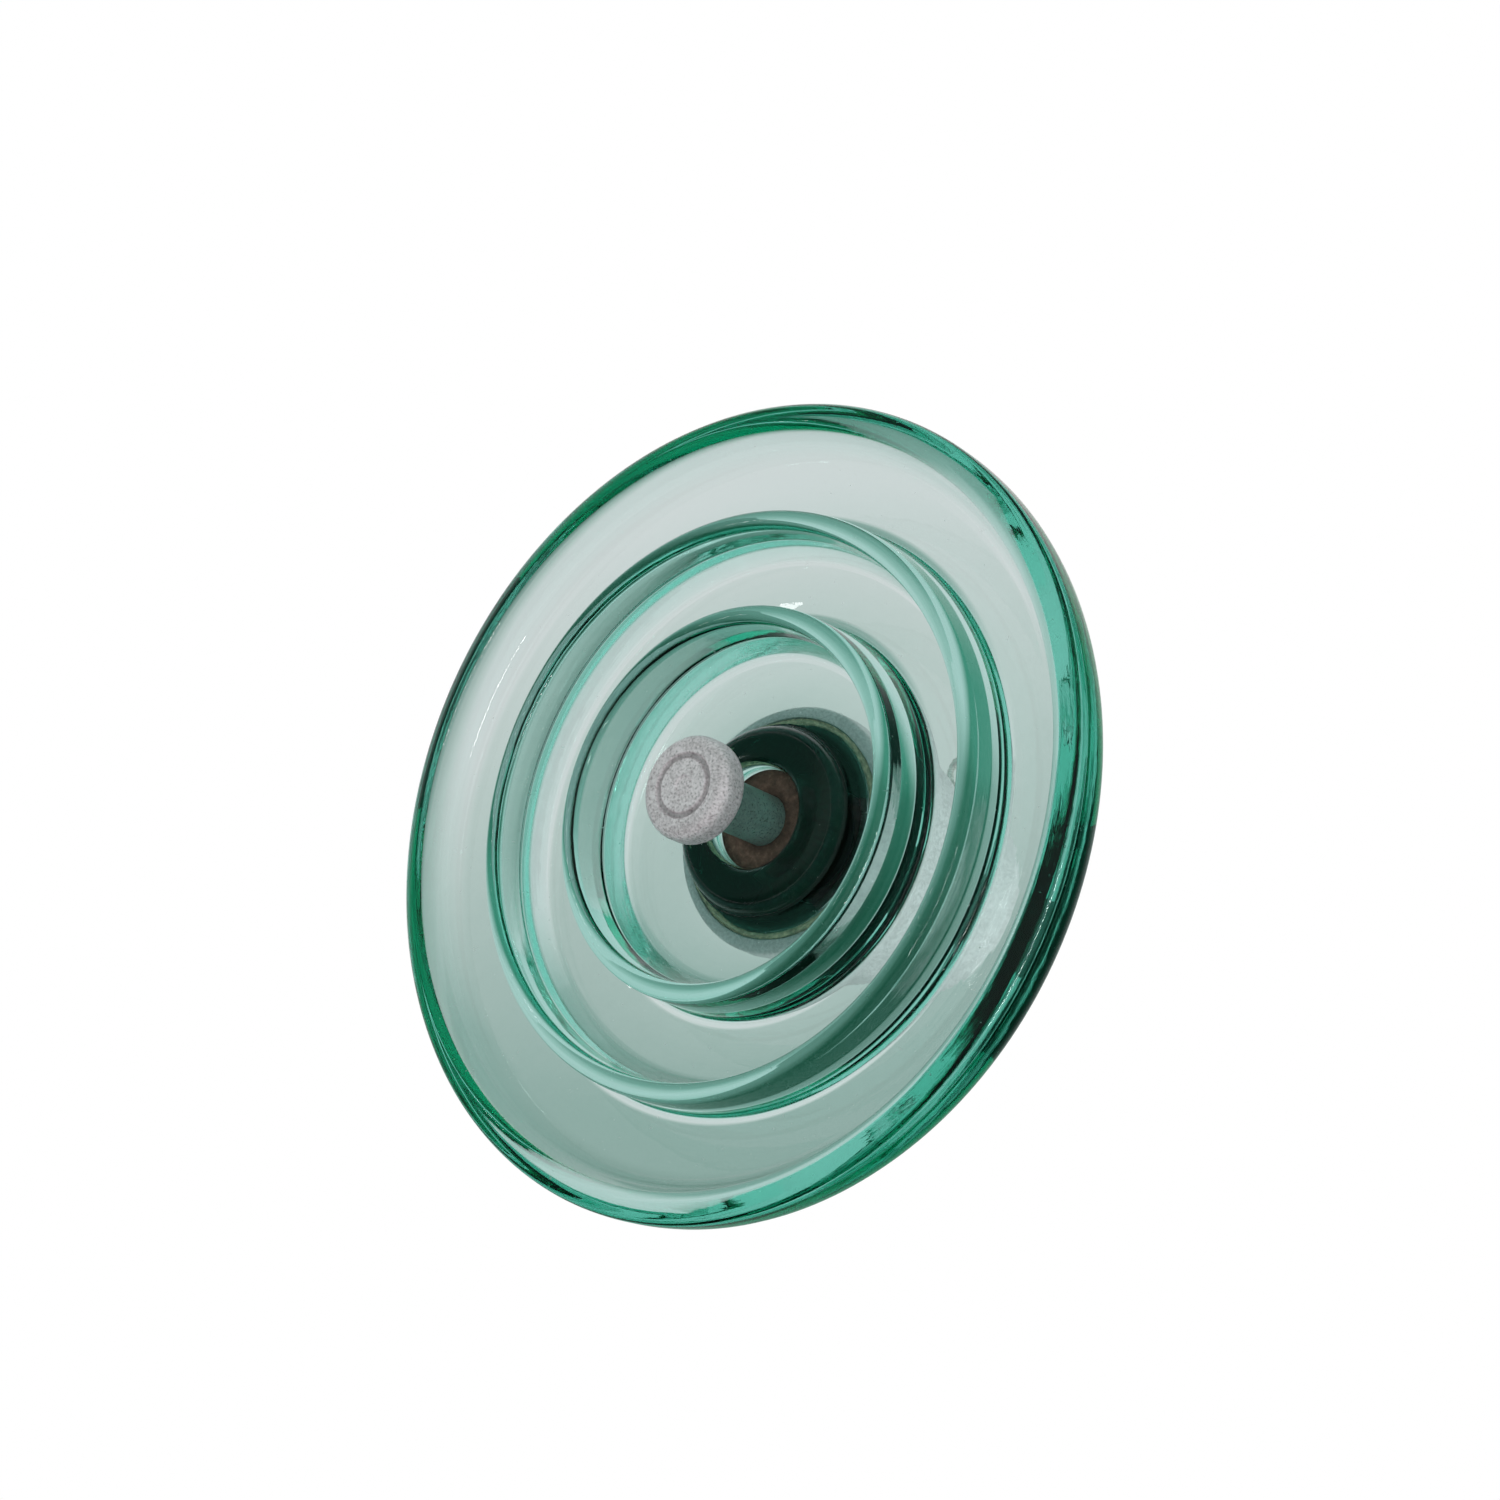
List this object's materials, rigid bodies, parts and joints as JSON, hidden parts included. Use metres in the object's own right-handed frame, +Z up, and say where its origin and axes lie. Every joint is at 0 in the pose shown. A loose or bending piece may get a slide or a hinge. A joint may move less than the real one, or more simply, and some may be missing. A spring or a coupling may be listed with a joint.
{
  "type": "glass suspension insulator",
  "caption": "Cap-and-pin suspension insulator: green toughened-glass ribbed disc, galvanised iron socket cap, steel ball pin and locking clip.",
  "frame": {"origin": "on the axis at the seat in the cap's socket, where the ball of the unit above bears", "axes": "+Z up along the axis, from the ball pin to the cap; -Y is the open side of the socket, where a ball enters; +Y is the side of the locking clip's eye"},
  "size_m": [0.255, 0.255, 0.1486],
  "materials": {
    "green_glass": "clear, green through its thickness",
    "galvanised_iron": "hot-dip galvanised, matt grey",
    "galvanised_steel": "hot-dip galvanised, fine sparkle",
    "portland_cement": "matt, brownish",
    "cork": "matt",
    "rubber": "matt",
    "stainless_wire": "drawn wire"
  },
  "bodies": {
    "insulator": {"glass_shell": "green_glass", "cap": "galvanised_iron", "cap_cement": "portland_cement", "cap_cushion": "rubber", "pin": "galvanised_steel", "pin_cement": "portland_cement", "pin_cushion": "cork"},
    "clip": {"split_pin": "stainless_wire"}
  },
  "joints": [
    {"name": "clip_slide", "type": "slide", "parent": "insulator", "child": "clip", "axis": [0, 1, 0], "range_m": [0, 0.024]}
  ]
}
